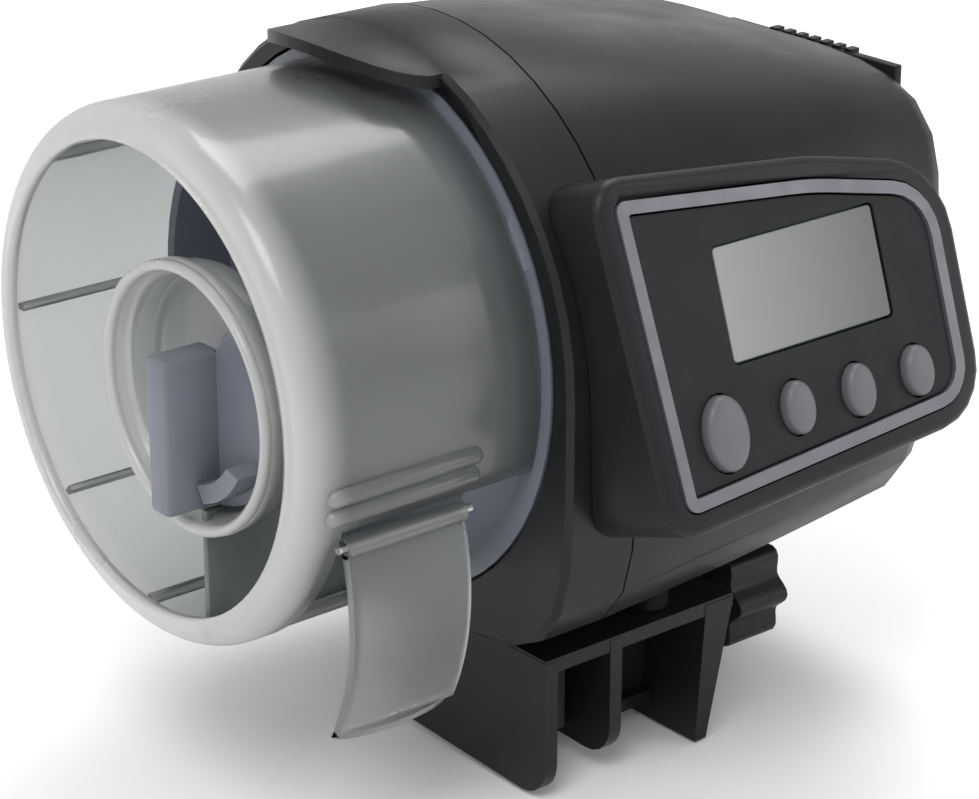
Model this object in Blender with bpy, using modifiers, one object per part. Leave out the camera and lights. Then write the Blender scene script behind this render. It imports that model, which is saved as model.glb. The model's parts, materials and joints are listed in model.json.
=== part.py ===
"""Automatic fish feeder: a clear food drum on a motor housing that clamps to the rim of a tank.

The sizes below are in millimetres and become metres where each mesh is made.
Drum frame: X runs along the drum's axis with the drum on the -X side, the control
panel faces -Y, and +Z is up. The whole feeder hangs from one empty, which puts the
roof of the rim slot, where the feeder sits on the tank's glass, at the world origin.
Angles around the drum start at -Y, the panel side, and grow towards +Z.
"""

import math

import bmesh
import bpy
from mathutils import Vector

MM = 0.001

# ---- Driving sizes ---------------------------------------------------------
GAP = 0.3                       # play between pieces that touch
WALL = 2.0                      # moulded wall of the housing

DRUM_RADIUS = 37.5
DRUM_LENGTH = 38.8              # front face to rear rim
DRUM_WALL = 1.6
DRUM_EDGE = 4.0                 # radius of the front edge
DRUM_SIDES = 56
RIB_THICKNESS = 1.0
RIB_DEPTH = 1.6
RIB_FRONT = 2.6                 # from the front face, clear of its rounded edge
RIB_ANGLES = (20.5, 45, 90, 135, 180, 225, 262)
BAFFLE_OFFSET = 12.0            # from the drum's axis towards the panel side
BAFFLE_REAR = 12.0              # from the rear rim

WINDOW_TOP = -18.0              # angle of the window's hinge edge
WINDOW_BOTTOM = -67.0
WINDOW_FRONT = 31.9             # from the rear rim
HINGE_ANGLE = -21.5
HINGE_RADIUS = 38.2
PIN_RADIUS = 0.6
KNUCKLE_RADIUS = 1.5
DOOR_REAR = 12.2                # door's rear edge from the rear rim
DOOR_WALL = 1.3
DOOR_OPEN = 38.0                # how far the door hangs open at rest
DOOR_LIP = 3.4

WELL_RADIUS = 16.2
WELL_DEPTH = 6.5
WELL_MOUTH = 1.4                # the mouth is this much wider
WELL_CENTRE = (-10.0, 0.5)      # y, z of the dial's pivot
DIAL_THICKNESS = 1.8
FIN_THICKNESS = 4.4
FIN_ABOVE = 6.8                 # the fin's ends from the pivot
FIN_BELOW = WELL_RADIUS - 0.8
FIN_PROUD = 4.1                 # past the drum's face
PIVOT_RADIUS = 3.0

LID_RADIUS = 39.3
LID_THICKNESS = 1.4
SPIGOT_LENGTH = 9.9
DOG_SIZE = 8.0                  # square drive dog
DOG_LENGTH = 7.0

RECESS_DEPTH = 3.4              # circular seat of the drum in the housing
RECESS_PLAY = 0.5               # around the lid's flange
BULKHEAD = 2.0
SEAM_X = 12.0
HOUSING_END = 76.0
HOUSING_SIDE = 43.2             # half width at the drum
HOUSING_TOP = 42.6
HOUSING_BOTTOM = 41.4
END_ROUND = 5.0
TOP_TAPER = 0.195               # fall of the top per unit of length
BOTTOM_TAPER = 0.04
HOOD_REACH = 11.2
HOOD_INNER = 40.7
HOOD_SPREAD = 24.0              # degrees either side of the top
SECTION_POINTS = 48

PANEL_TILT = 19.0               # the panel leans back by this much
PANEL_CORNER = (0.0, -45.0, 27.0)
BEZEL_MARGIN = 3.2
TRIM_WIDTH = 1.8
TRIM_THICKNESS = 1.8
PLATE_THICKNESS = 1.3
SCREEN = (35.4, -16.7, 29.7, 15.6)      # centre and size on the panel
BUTTONS = {                             # centre and size on the panel
    "feed": (16.1, -32.9, 7.2, 10.4),
    "mode": (29.5, -32.6, 5.3, 7.4),
    "adjust": (41.0, -32.9, 5.3, 7.4),
    "set": (52.5, -32.9, 5.3, 7.2),
}
BUTTON_PROUD = 1.5
BUTTON_TRAVEL = 0.8
BOARD_DEPTH = 6.5               # panel face to circuit board
BOARD_THICKNESS = 1.6

TOOTH_MODULE = 0.5
WHEEL_TEETH = 36
PINION_TEETH = 12
GEAR_THICKNESS = 2.2
GEAR_SLACK = 0.15               # added to each centre distance
AXLE_RADIUS = 1.0
SHAFT_RADIUS = 2.0
GEAR_LAYERS = (5.8, 8.6, 11.4)  # x where each meshing pair starts
GEAR_TURNS = (-50.0, -110.0, -10.0)     # directions from axle to axle
GEAR_PLATE = (14.4, 1.6)
POSTS = ((-12.5, -10.5), (22.3, -9.0), (-10.0, -26.6))
POST_RADIUS = 2.6
MOTOR_RADIUS = 10.0
MOTOR_LENGTH = 20.0

CELL_RADIUS = 7.1
CELL_LENGTH = 49.2
CELL_NUB = 1.0
CELL_START = 18.6
CELLS = ((-18.4, 14.6), (-3.4, 14.6))

JAW_LEFT = (3.6, 2.2)           # x and thickness of each clamp plate
JAW_MIDDLE = (15.6, 2.2)
CLAMP_FRONT = -34.5
CLAMP_DEPTH = 39.0
CLAMP_DROP = 22.4               # below the housing
BASE_THICKNESS = 2.2
SCREW_RADIUS = 3.0
SCREW_Y = -17.0
SCREW_Z = -51.0
PAD_GRIP = 6.6                  # slot left between the fixed jaw and the pad
PAD_THICKNESS = 2.4
PAD_WIDTH = 18.0
PAD_BELOW = 8.0                 # the pad's ends from the screw
PAD_ABOVE = 4.0
KNOB_X = 49.0
KNOB_RADIUS = 9.4
KNOB_LENGTH = 10.0
KNOB_LOBES = 8

# ---- Sizes that follow -----------------------------------------------------
DRUM_INNER = DRUM_RADIUS - DRUM_WALL
RECESS_RADIUS = LID_RADIUS + RECESS_PLAY
FACE_X = -DRUM_LENGTH
SPIGOT_RADIUS = DRUM_INNER - GAP
BULKHEAD_REAR = RECESS_DEPTH + BULKHEAD
JAW_FACE = JAW_LEFT[0] + JAW_LEFT[1]
CLAMP_TOP = -HOUSING_BOTTOM - 0.4
SEAT = (
    (JAW_FACE + JAW_MIDDLE[0]) / 2,
    CLAMP_FRONT + CLAMP_DEPTH / 2,
    CLAMP_TOP - BASE_THICKNESS,
)
BOARD_Z = -BOARD_DEPTH - BOARD_THICKNESS

ACROSS = (math.pi / 2, 0, math.pi / 2)  # outline in YZ, thickness along +X
FORWARD = (0, -math.pi / 2, 0)          # turned shape whose top faces -X
BACKWARD = (0, math.pi / 2, 0)          # turned shape whose top faces +X


# ---- Scene -----------------------------------------------------------------
for old in list(bpy.data.objects):
    bpy.data.objects.remove(old)


def collection(name):
    made = bpy.data.collections.new(name)
    bpy.context.scene.collection.children.link(made)
    return made


PARTS = collection("fish_feeder")
CUTTERS = collection("cutters")


def empty(name, at, turn, parent=None):
    made = bpy.data.objects.new(name, None)
    made.location = Vector(at) * MM
    made.rotation_euler = turn
    made.parent = parent
    PARTS.objects.link(made)
    return made


FEEDER = empty("feeder_frame", [-value for value in SEAT], (0, 0, 0))
PANEL = empty("panel_frame", PANEL_CORNER, (math.radians(90 - PANEL_TILT), 0, 0), FEEDER)


def material(name, colour, roughness, metallic=0.0, alpha=1.0):
    made = bpy.data.materials.new(name)
    made.use_nodes = True
    shader = made.node_tree.nodes["Principled BSDF"]
    shader.inputs["Base Color"].default_value = (*colour, 1.0)
    shader.inputs["Roughness"].default_value = roughness
    shader.inputs["Metallic"].default_value = metallic
    shader.inputs["Alpha"].default_value = alpha
    return made


BLACK = material("black_plastic", (0.020, 0.021, 0.023), 0.38)
CLEAR = material("clear_plastic", (0.62, 0.65, 0.63), 0.08, alpha=0.45)
LAVENDER = material("lavender_plastic", (0.235, 0.235, 0.30), 0.42)
SILVER = material("silver_trim", (0.24, 0.24, 0.27), 0.35, 0.5)
OVERLAY = material("panel_overlay", (0.028, 0.030, 0.033), 0.5)
GLASS = material("screen_glass", (0.30, 0.32, 0.33), 0.12)
BOARD = material("circuit_board", (0.02, 0.13, 0.05), 0.45)
STEEL = material("steel", (0.55, 0.55, 0.56), 0.3, 1.0)
ACETAL = material("white_acetal", (0.80, 0.80, 0.77), 0.4)
WRAP = material("cell_wrap", (0.12, 0.16, 0.22), 0.35)
RUBBER = material("rubber", (0.03, 0.03, 0.03), 0.8)


# ---- Shape helpers ---------------------------------------------------------
def add(name, mesh, finish, at=(0, 0, 0), turn=(0, 0, 0), parent=FEEDER):
    """Puts a mesh in the scene; one without a finish is a cutter or an addition."""
    made = bpy.data.objects.new(name, mesh)
    made.location = Vector(at) * MM
    made.rotation_euler = turn
    made.parent = parent
    if finish is None:
        made.hide_render = True
        made.display_type = "WIRE"
        CUTTERS.objects.link(made)
    else:
        mesh.materials.append(finish)
        PARTS.objects.link(made)
    return made


def mesh_from(work, name, sharp=35):
    """Turns a bmesh in millimetres into a mesh in metres."""
    bmesh.ops.scale(work, vec=(MM, MM, MM), verts=work.verts)
    mesh = bpy.data.meshes.new(name)
    work.to_mesh(mesh)
    work.free()
    mesh.shade_smooth()
    mesh.set_sharp_from_angle(angle=math.radians(sharp))
    return mesh


def round_edges(work, edges, radius, segments=2):
    bmesh.ops.bevel(work, geom=edges, offset=radius, segments=segments,
                    affect="EDGES", profile=0.5, material=-1)


def box(name, finish, low, high, bevel=0.0, **place):
    """A block between two corners, with all its edges rounded by bevel."""
    work = bmesh.new()
    size = [b - a for a, b in zip(low, high)]
    middle = [(a + b) / 2 for a, b in zip(low, high)]
    bmesh.ops.create_cube(work, size=1)
    bmesh.ops.scale(work, vec=size, verts=work.verts)
    bmesh.ops.translate(work, vec=middle, verts=work.verts)
    if bevel:
        round_edges(work, work.edges[:], bevel)
    return add(name, mesh_from(work, name), finish, **place)


def rod(name, finish, radius, length, sides=24, bevel=0.0, **place):
    """A cylinder that starts at its place and runs along its own +Z."""
    work = bmesh.new()
    bmesh.ops.create_cone(work, cap_ends=True, segments=sides, radius1=radius,
                          radius2=radius, depth=length)
    bmesh.ops.translate(work, vec=(0, 0, length / 2), verts=work.verts)
    if bevel:
        rims = [edge for edge in work.edges
                if len({round(corner.co.z, 4) for corner in edge.verts}) == 1]
        round_edges(work, rims, bevel)
    return add(name, mesh_from(work, name), finish, **place)


def turned(name, finish, profile, sides=32, **place):
    """A profile of (radius, height) turned about its own Z with a Screw modifier."""
    work = bmesh.new()
    corners = [work.verts.new((radius, 0, height)) for radius, height in profile]
    pairs = list(zip(corners, corners[1:]))
    if profile[0][0] > 0:
        pairs.append((corners[-1], corners[0]))
    for pair in pairs:
        work.edges.new(pair)
    made = add(name, mesh_from(work, name), finish, **place)
    screw = made.modifiers.new("turn", "SCREW")
    screw.steps = screw.render_steps = sides
    screw.use_merge_vertices = True
    screw.merge_threshold = 0.00001
    screw.use_smooth_shade = True
    return made


def flat(name, finish, outline, thickness, holes=(), **place):
    """A flat outline with holes, from local z = 0 up to its thickness."""
    drawing = bpy.data.curves.new(name, "CURVE")
    drawing.dimensions = "2D"
    drawing.fill_mode = "BOTH"
    drawing.extrude = thickness / 2 * MM
    for loop in (outline, *holes):
        spline = drawing.splines.new("POLY")
        spline.points.add(len(loop) - 1)
        spline.use_cyclic_u = True
        for point, (x, y) in zip(spline.points, loop):
            point.co = (x * MM, y * MM, 0, 1)
    guide = bpy.data.objects.new(name + "_outline", drawing)
    CUTTERS.objects.link(guide)
    graph = bpy.context.evaluated_depsgraph_get()
    mesh = bpy.data.meshes.new_from_object(guide.evaluated_get(graph))
    bpy.data.objects.remove(guide)
    mesh.name = name
    work = bmesh.new()
    work.from_mesh(mesh)
    bmesh.ops.remove_doubles(work, verts=work.verts, dist=0.000001)
    bmesh.ops.translate(work, vec=(0, 0, thickness / 2 * MM), verts=work.verts)
    bmesh.ops.recalc_face_normals(work, faces=work.faces)
    work.to_mesh(mesh)
    work.free()
    mesh.shade_smooth()
    mesh.set_sharp_from_angle(angle=math.radians(35))
    return add(name, mesh, finish, **place)


def loft(name, finish, rings, **place):
    """A solid through rings of equal length, capped at both ends."""
    work = bmesh.new()
    loops = [[work.verts.new(point) for point in ring] for ring in rings]
    count = len(rings[0])
    for near, far in zip(loops, loops[1:]):
        for i in range(count):
            j = (i + 1) % count
            work.faces.new((near[i], near[j], far[j], far[i]))
    work.faces.new(loops[0][::-1])
    work.faces.new(loops[-1])
    bmesh.ops.recalc_face_normals(work, faces=work.faces)
    return add(name, mesh_from(work, name), finish, **place)


def combine(target, other, operation):
    change = target.modifiers.new(operation.lower(), "BOOLEAN")
    change.operation = operation
    change.object = other


def join(target, *others):
    for other in others:
        combine(target, other, "UNION")


def cut(target, *others):
    for other in others:
        combine(target, other, "DIFFERENCE")


def around(radius, degrees):
    """y and z of a point at an angle around the drum."""
    turn = math.radians(degrees)
    return -radius * math.cos(turn), radius * math.sin(turn)


def arc(radius, start, end, steps, centre=(0.0, 0.0)):
    """Points along an arc, with angles measured from the first axis to the second."""
    turns = [math.radians(start + (end - start) * i / steps) for i in range(steps + 1)]
    return [(centre[0] + radius * math.cos(a), centre[1] + radius * math.sin(a)) for a in turns]


def drum_sector(inner, outer, start, end, steps=16):
    """Outline of a ring sector around the drum, between two drum angles."""
    turns = [start + (end - start) * i / steps for i in range(steps + 1)]
    return [around(outer, turn) for turn in turns] + [around(inner, turn) for turn in turns[::-1]]


def rounded(corners, steps=5):
    """A closed outline from (x, y, radius) corners."""
    points = []
    for before, (x, y, radius), after in zip(corners[-1:] + corners[:-1], corners,
                                              corners[1:] + corners[:1]):
        here = Vector((x, y))
        back = (Vector(before[:2]) - here).normalized()
        ahead = (Vector(after[:2]) - here).normalized()
        half = back.angle(ahead) / 2
        centre = here + (back + ahead).normalized() * (radius / math.sin(half))
        start = here + back * (radius / math.tan(half)) - centre
        end = here + ahead * (radius / math.tan(half)) - centre
        first = math.atan2(start.y, start.x)
        sweep = (math.atan2(end.y, end.x) - first + math.pi) % (2 * math.pi) - math.pi
        for i in range(steps + 1):
            turn = first + sweep * i / steps
            points.append((centre.x + radius * math.cos(turn), centre.y + radius * math.sin(turn)))
    return points


def grown(outline, amount):
    """The outline moved outwards by an amount; its corners run clockwise."""
    points = [Vector(point) for point in outline]
    result = []
    for before, here, after in zip(points[-1:] + points[:-1], points, points[1:] + points[:1]):
        first = (here - before).normalized()
        second = (after - here).normalized()
        outward = Vector((-first.y - second.y, first.x + second.x)).normalized()
        result.append(tuple(here + outward * amount / max(0.5, outward.dot(Vector((-first.y, first.x))))))
    return result


def oval(x, y, width, height, sides=24):
    return [(x + width / 2 * math.cos(a), y + height / 2 * math.sin(a))
            for a in (2 * math.pi * i / sides for i in range(sides))]


# ---- Housing shells --------------------------------------------------------
def housing_section(x, inset):
    """The housing's outline at a station along X: round on top, squarer below."""
    past = max(0.0, x - SEAM_X)
    corner = max(0.0, x - (HOUSING_END - END_ROUND))
    inset += END_ROUND - math.sqrt(max(0.0, END_ROUND ** 2 - corner ** 2))
    front = HOUSING_SIDE - 0.05 * past - inset
    back = HOUSING_SIDE - 0.12 * past - inset
    top = HOUSING_TOP - TOP_TAPER * past - inset
    bottom = HOUSING_BOTTOM - BOTTOM_TAPER * max(0.0, x - 40) - inset
    ring = []
    for i in range(SECTION_POINTS):
        turn = 2 * math.pi * i / SECTION_POINTS
        across, up = math.cos(turn), math.sin(turn)
        width = back if across > 0 else front
        height, power = (top, 2 + past / 24) if up > 0 else (bottom, 5 - past / 60)
        reach = ((abs(across) / width) ** power + (abs(up) / height) ** power) ** (-1 / power)
        ring.append((x, reach * across, reach * up))
    return ring


def end_stations(end, radius):
    return [end - radius + radius * math.sin(math.radians(turn)) for turn in (0, 30, 55, 75, 89)]


def screw(name, at, turn, length, head=2.4, shank=1.2):
    """A pan-head screw whose head sits at its place and whose shank runs along +Z."""
    profile = [(0, length), (shank - 0.4, length), (shank, length - 0.6), (shank, 0),
               (head, 0), (head, -0.7), (head - 0.6, -1.2), (0, -1.2)]
    made = turned(name, STEEL, profile, 14, at=at, turn=turn)
    slot = box(name + "_slot", None, (-head, -0.25, -2), (head, 0.25, -0.7), at=at, turn=turn)
    cut(made, slot)


BOSS_RING = 36.4
BOSS_ANGLES = (40, 140, 270)
BOSS_RADIUS = 5.2
BOSS_END = 24.0
left_shell = loft("drum_side_shell", BLACK, [
    housing_section(0, 0.8), housing_section(0.8, 0), housing_section(SEAM_X - GAP / 2, 0)])
cut(left_shell,
    rod("recess", None, RECESS_RADIUS, RECESS_DEPTH + 1, DRUM_SIDES, at=(-1, 0, 0), turn=BACKWARD),
    loft("left_cavity", None, [housing_section(BULKHEAD_REAR, WALL),
                               housing_section(SEAM_X + 1, WALL)]))
hood = flat("hood_arch", None,
            drum_sector(HOOD_INNER, HOOD_INNER + 1.7, 90 - HOOD_SPREAD, 90 + HOOD_SPREAD),
            HOOD_REACH + RECESS_DEPTH, at=(-HOOD_REACH, 0, 0), turn=ACROSS)
HOOD_HALF = HOOD_INNER * math.sin(math.radians(HOOD_SPREAD))
tongue = flat("hood_plan", None,
              [(RECESS_DEPTH + 1, -HOOD_HALF)]
              + [(-HOOD_REACH * math.sin(math.radians(t)), -HOOD_HALF * math.cos(math.radians(t)))
                 for t in range(10, 171, 10)]
              + [(RECESS_DEPTH + 1, HOOD_HALF)], HOUSING_TOP, at=(0, 0, 10))
combine(hood, tongue, "INTERSECT")
join(left_shell, hood)

output = (0.0, 0.0)
axles = [output]
for turn in GEAR_TURNS:
    spacing = TOOTH_MODULE * (WHEEL_TEETH + PINION_TEETH) / 2 + GEAR_SLACK
    axles.append((axles[-1][0] + spacing * math.cos(math.radians(turn)),
                  axles[-1][1] + spacing * math.sin(math.radians(turn))))
AXLE_START = BULKHEAD_REAR - 1.3
POST_END = GEAR_PLATE[0] - GAP
for i, (y, z) in enumerate(POSTS):
    join(left_shell, rod(f"post_{i}", None, POST_RADIUS, POST_END - BULKHEAD_REAR + 0.5, 20,
                         at=(BULKHEAD_REAR - 0.5, y, z), turn=BACKWARD))
for i, (y, z) in enumerate(POSTS):
    cut(left_shell, rod(f"post_hole_{i}", None, 1.3, 7, 14, at=(POST_END - 6, y, z), turn=BACKWARD))
    screw(f"gearbox_screw_{i + 1}", (GEAR_PLATE[0] + GEAR_PLATE[1] + GAP, y, z), FORWARD, 6.5, 2.1, 1.0)
cut(left_shell, rod("shaft_hole", None, 3.6, 6, 24, at=(RECESS_DEPTH - 1, 0, 0), turn=BACKWARD))
for i, (y, z) in enumerate(axles[1:3]):
    cut(left_shell, rod(f"axle_seat_{i}", None, AXLE_RADIUS + GAP, 3, 14,
                        at=(AXLE_START - GAP, y, z), turn=BACKWARD))

main_shell = loft("main_shell", BLACK, [
    housing_section(x, 0) for x in
    [SEAM_X + GAP / 2, 24, 36, 48, 58] + end_stations(HOUSING_END, END_ROUND)])
CAVITY_END = HOUSING_END - 4
cut(main_shell, loft("main_cavity", None, [
    housing_section(x, WALL) for x in [SEAM_X - 1, 24, 36, 48, 58, CAVITY_END]]))
for i, turn in enumerate(BOSS_ANGLES):
    y, z = around(BOSS_RING, turn)
    join(main_shell, rod(f"boss_{i}", None, BOSS_RADIUS, BOSS_END - SEAM_X - GAP / 2, 20,
                         at=(SEAM_X + GAP / 2, y, z), turn=BACKWARD))
for i, turn in enumerate(BOSS_ANGLES):
    y, z = around(BOSS_RING, turn)
    cut(left_shell, rod(f"left_hole_{i}", None, 1.6, 5, 14, at=(RECESS_DEPTH - 1, y, z), turn=BACKWARD))
    cut(main_shell, rod(f"boss_hole_{i}", None, 1.6, 10, 14, at=(SEAM_X - 1, y, z), turn=BACKWARD))
    screw(f"housing_screw_{i + 1}", (RECESS_DEPTH - GAP, y, z), BACKWARD, 16)
cut(main_shell, box("panel_opening", None, (15, -60, -16), (57, -30, 15)))

# The clamp's base screws up into two bosses in the floor of the main shell.
BASE_SCREWS = ((27.0, -8.0), (27.0, -29.0))
for i, (x, y) in enumerate(BASE_SCREWS):
    join(main_shell, rod(f"floor_boss_{i}", None, 3.4, 9, 20, at=(x, y, -HOUSING_BOTTOM - 0.1)))
for i, (x, y) in enumerate(BASE_SCREWS):
    cut(main_shell, rod(f"floor_hole_{i}", None, 1.6, 9, 14, at=(x, y, -HOUSING_BOTTOM - 1)))
    screw(f"clamp_base_screw_{i + 1}", (x, y, CLAMP_TOP - BASE_THICKNESS - GAP), (0, 0, 0), 8)

# ---- Battery bay -----------------------------------------------------------
BAY_MIDDLE = (CELLS[0][0] + CELLS[1][0]) / 2
BAY_HALF = (CELLS[1][0] - CELLS[0][0]) / 2 + CELL_RADIUS + 0.9
DOOR_HALF = BAY_HALF + 2.2
DOOR_BOTTOM = CELLS[0][1] - CELL_RADIUS - 3.0
DOOR_THICKNESS = 1.5
DOOR_TOP = HOUSING_TOP - TOP_TAPER * (HOUSING_END - SEAM_X) - 0.6
DOOR_X = HOUSING_END - DOOR_THICKNESS
cut(main_shell,
    box("door_recess", None, (DOOR_X - GAP, BAY_MIDDLE - DOOR_HALF - GAP, DOOR_BOTTOM - GAP),
        (HOUSING_END + 1, BAY_MIDDLE + DOOR_HALF + GAP, HOUSING_TOP)),
    box("bay_mouth", None, (CAVITY_END - 1, BAY_MIDDLE - BAY_HALF, DOOR_BOTTOM + 2),
        (HOUSING_END, BAY_MIDDLE + BAY_HALF, CELLS[0][1] + CELL_RADIUS + 1.0)))
battery_door = box("battery_door", BLACK, (DOOR_X, BAY_MIDDLE - DOOR_HALF, DOOR_BOTTOM),
                   (HOUSING_END, BAY_MIDDLE + DOOR_HALF, DOOR_TOP), 0.3)
RIDGES = 7
for i in range(RIDGES):
    y = BAY_MIDDLE + (i - (RIDGES - 1) / 2) * 2.6
    join(battery_door, box(f"ridge_{i}", None, (DOOR_X + 0.2, y - 0.7, DOOR_TOP - 5),
                           (HOUSING_END + 0.5, y + 0.7, DOOR_TOP + 0.5)))

TRAY_START = CELL_START - 4.2
TRAY_END = CELL_START + CELL_LENGTH + CELL_NUB
TRAY_FLOOR = CELLS[0][1] - CELL_RADIUS - 1.6
tray = box("battery_tray", BLACK, (TRAY_START, BAY_MIDDLE - BAY_HALF - 0.2, TRAY_FLOOR),
           (TRAY_END, BAY_MIDDLE + BAY_HALF + 0.2, CELLS[0][1] + 1.0))
for i, (y, z) in enumerate(CELLS):
    cut(tray, rod(f"trough_{i}", None, CELL_RADIUS + 0.4, 60, 28, at=(TRAY_START + 1.6, y, z),
                  turn=BACKWARD),
        box(f"trough_mouth_{i}", None, (TRAY_START + 1.6, y - CELL_RADIUS - 0.4, z),
            (TRAY_START + 70, y + CELL_RADIUS + 0.4, z + 5)))
for i, ((y, z), facing) in enumerate(zip(CELLS, (1, -1))):
    body = (CELL_RADIUS, CELL_LENGTH)
    profile = [(0, body[1] + CELL_NUB), (2.6, body[1] + CELL_NUB), (2.6, body[1]),
               (body[0] - 0.5, body[1]), (body[0], body[1] - 0.5), (body[0], 0.5),
               (body[0] - 0.5, 0), (0, 0)]
    start = CELL_START if facing > 0 else CELL_START + CELL_LENGTH
    turned(f"cell_{i + 1}", WRAP, profile, 28, at=(start, y, z), turn=BACKWARD if facing > 0 else FORWARD)

# A sprung contact on the tray's end, a plain one beside it, and a bridge on the door.
SPRING_TURNS = 3
spring = bpy.data.curves.new("contact_spring", "CURVE")
spring.dimensions = "3D"
spring.bevel_depth = 0.35 * MM
spring.bevel_resolution = 1
spring.use_fill_caps = True
coil = spring.splines.new("POLY")
STEPS = 12
coil.points.add(SPRING_TURNS * STEPS)
SPRING_START = TRAY_START + 2.4
SPRING_RISE = CELL_START - 0.7 - SPRING_START - 0.1
for i, point in enumerate(coil.points):
    share = i / (SPRING_TURNS * STEPS)
    turn = 2 * math.pi * i / STEPS
    radius = 4.6 - 2.0 * share
    point.co = ((SPRING_START + SPRING_RISE * share) * MM, (CELLS[0][0] + radius * math.cos(turn)) * MM,
                (CELLS[0][1] + radius * math.sin(turn)) * MM, 1)
spring.materials.append(STEEL)
contact_spring = bpy.data.objects.new("contact_spring", spring)
contact_spring.parent = FEEDER
PARTS.objects.link(contact_spring)
box("contact_plate", STEEL, (TRAY_START + 1.9, CELLS[1][0] - 4, CELLS[1][1] - 5),
    (TRAY_START + 2.5, CELLS[1][0] + 4, CELLS[1][1] + 4))
BRIDGE_X = CELL_START + CELL_LENGTH + CELL_NUB + GAP
box("contact_bridge", STEEL, (BRIDGE_X, CELLS[0][0] - 4, CELLS[0][1] - 4),
    (BRIDGE_X + 0.5, CELLS[1][0] + 4, CELLS[0][1] + 4))


# ---- Gear train ------------------------------------------------------------
def tooth_outline(teeth, phase):
    """Straight-sided teeth, narrower than their gaps so that the pair has backlash."""
    pitch = TOOTH_MODULE * teeth / 2
    step = 2 * math.pi / teeth
    shape = ((pitch - 1.2 * TOOTH_MODULE, 0.32), (pitch + 0.85 * TOOTH_MODULE, 0.10))
    points = []
    for i in range(teeth):
        middle = phase + i * step
        for radius, half in shape:
            flank = middle - half * step
            points.append((radius * math.cos(flank), radius * math.sin(flank)))
        for radius, half in shape[::-1]:
            flank = middle + half * step
            points.append((radius * math.cos(flank), radius * math.sin(flank)))
    return points


def meshing_phase(phase, teeth, other_teeth, direction):
    """Phase of the gear that meets one of a given phase in a direction, in radians."""
    pitch = math.pi * TOOTH_MODULE
    arrival = TOOTH_MODULE * teeth / 2 * (phase - direction) + pitch / 2
    return direction + math.pi - arrival / (TOOTH_MODULE * other_teeth / 2)


directions = [math.radians(turn) for turn in GEAR_TURNS]
wheel_phases = [0.0]
pinion_phases = []
for direction in directions:
    pinion_phases.append(meshing_phase(wheel_phases[-1], WHEEL_TEETH, PINION_TEETH, direction))
    wheel_phases.append(pinion_phases[-1])

output_wheel = flat("output_gear", ACETAL, tooth_outline(WHEEL_TEETH, wheel_phases[0]), GEAR_THICKNESS,
                    [arc(SHAFT_RADIUS + GAP, 360, 15, 23)], at=(GEAR_LAYERS[0], 0, 0), turn=ACROSS)
for i in (1, 2):
    name = f"reduction_gear_{i}"
    y, z = axles[i]
    wheel = flat(name, ACETAL, tooth_outline(WHEEL_TEETH, wheel_phases[i]), GEAR_THICKNESS,
                 at=(GEAR_LAYERS[i], y, z), turn=ACROSS)
    pinion = flat(name + "_pinion", None, tooth_outline(PINION_TEETH, pinion_phases[i - 1]),
                  GEAR_LAYERS[i] - GEAR_LAYERS[i - 1] + 0.8, at=(GEAR_LAYERS[i - 1], y, z), turn=ACROSS)
    join(wheel, pinion)
    cut(wheel, rod(name + "_bore", None, AXLE_RADIUS + GAP, 12, 14, at=(GEAR_LAYERS[i - 1] - 2, y, z),
                   turn=BACKWARD))
    rod(f"gear_axle_{i}", STEEL, AXLE_RADIUS, GEAR_PLATE[0] + GEAR_PLATE[1] - 0.4 - AXLE_START, 14, 0.2,
        at=(AXLE_START, y, z), turn=BACKWARD)
motor_y, motor_z = axles[3]
MOTOR_X = GEAR_PLATE[0] + GEAR_PLATE[1] + GAP
flat("motor_pinion", ACETAL, tooth_outline(PINION_TEETH, pinion_phases[2]), GEAR_THICKNESS,
     [arc(AXLE_RADIUS + GAP, 360, 24, 14)], at=(GEAR_LAYERS[2], motor_y, motor_z), turn=ACROSS)
rod("motor_shaft", STEEL, AXLE_RADIUS, MOTOR_X + 1.6 - GEAR_LAYERS[2], 14, 0.2,
    at=(GEAR_LAYERS[2], motor_y, motor_z), turn=BACKWARD)
motor = rod("motor", STEEL, MOTOR_RADIUS, MOTOR_LENGTH, 28, 0.8, at=(MOTOR_X, motor_y, motor_z),
            turn=BACKWARD)
cut(motor, rod("motor_bore", None, AXLE_RADIUS + GAP, 3, 14, at=(MOTOR_X - 1, motor_y, motor_z),
               turn=BACKWARD))
gear_plate = flat("gearbox_plate", BLACK, rounded([
    (POSTS[0][0] - 4, POSTS[0][1] + 5, 3), (-4, 5.2, 3), (8, 5.2, 3), (POSTS[1][0] + 4.5, -3, 3),
    (POSTS[1][0] + 4.5, -20, 4), (motor_y + 4, -30.5, 4), (POSTS[2][0] - 4.5, -30.5, 3.5)]),
    GEAR_PLATE[1], at=(GEAR_PLATE[0], 0, 0), turn=ACROSS)
for i, ((y, z), radius) in enumerate(
        list(zip(axles, (SHAFT_RADIUS + GAP, AXLE_RADIUS + GAP, AXLE_RADIUS + GAP, 2.6)))
        + [(post, 1.4) for post in POSTS]):
    cut(gear_plate, rod(f"plate_hole_{i}", None, radius, 4, 16, at=(GEAR_PLATE[0] - 1, y, z),
                        turn=BACKWARD))

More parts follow.
